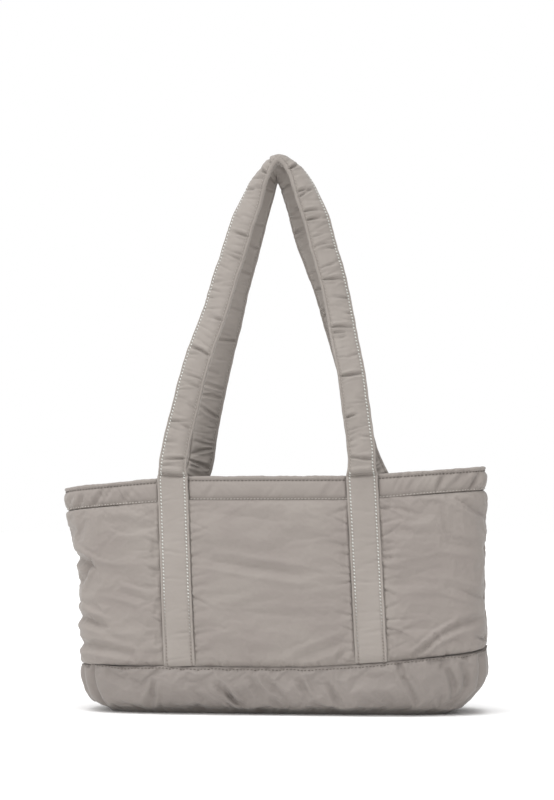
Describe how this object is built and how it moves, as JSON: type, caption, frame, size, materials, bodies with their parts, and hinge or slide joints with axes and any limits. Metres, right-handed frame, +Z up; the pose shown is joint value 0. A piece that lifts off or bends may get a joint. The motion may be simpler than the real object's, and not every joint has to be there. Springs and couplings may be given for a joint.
{
  "type": "puffer tote bag",
  "caption": "Small padded tote bag with a boxed base, an open hemmed rim and two long padded shoulder handles sewn down the panels.",
  "frame": {"origin": "on the floor, under the middle of the bag's bounding box", "axes": "+X along the bag to the right as seen from the front, +Y from the front to the back, +Z up; the front is the side that faces -Y"},
  "size_m": [0.3802, 0.1222, 0.5014],
  "materials": {
    "shell": "matte woven nylon over padding",
    "strap": "matte woven nylon over padding"
  },
  "bodies": {
    "root": {"front_panel": "shell", "back_panel": "shell", "base_panel": "shell", "rim_hem": "shell", "front_handle": "strap", "back_handle": "strap"}
  },
  "joints": []
}
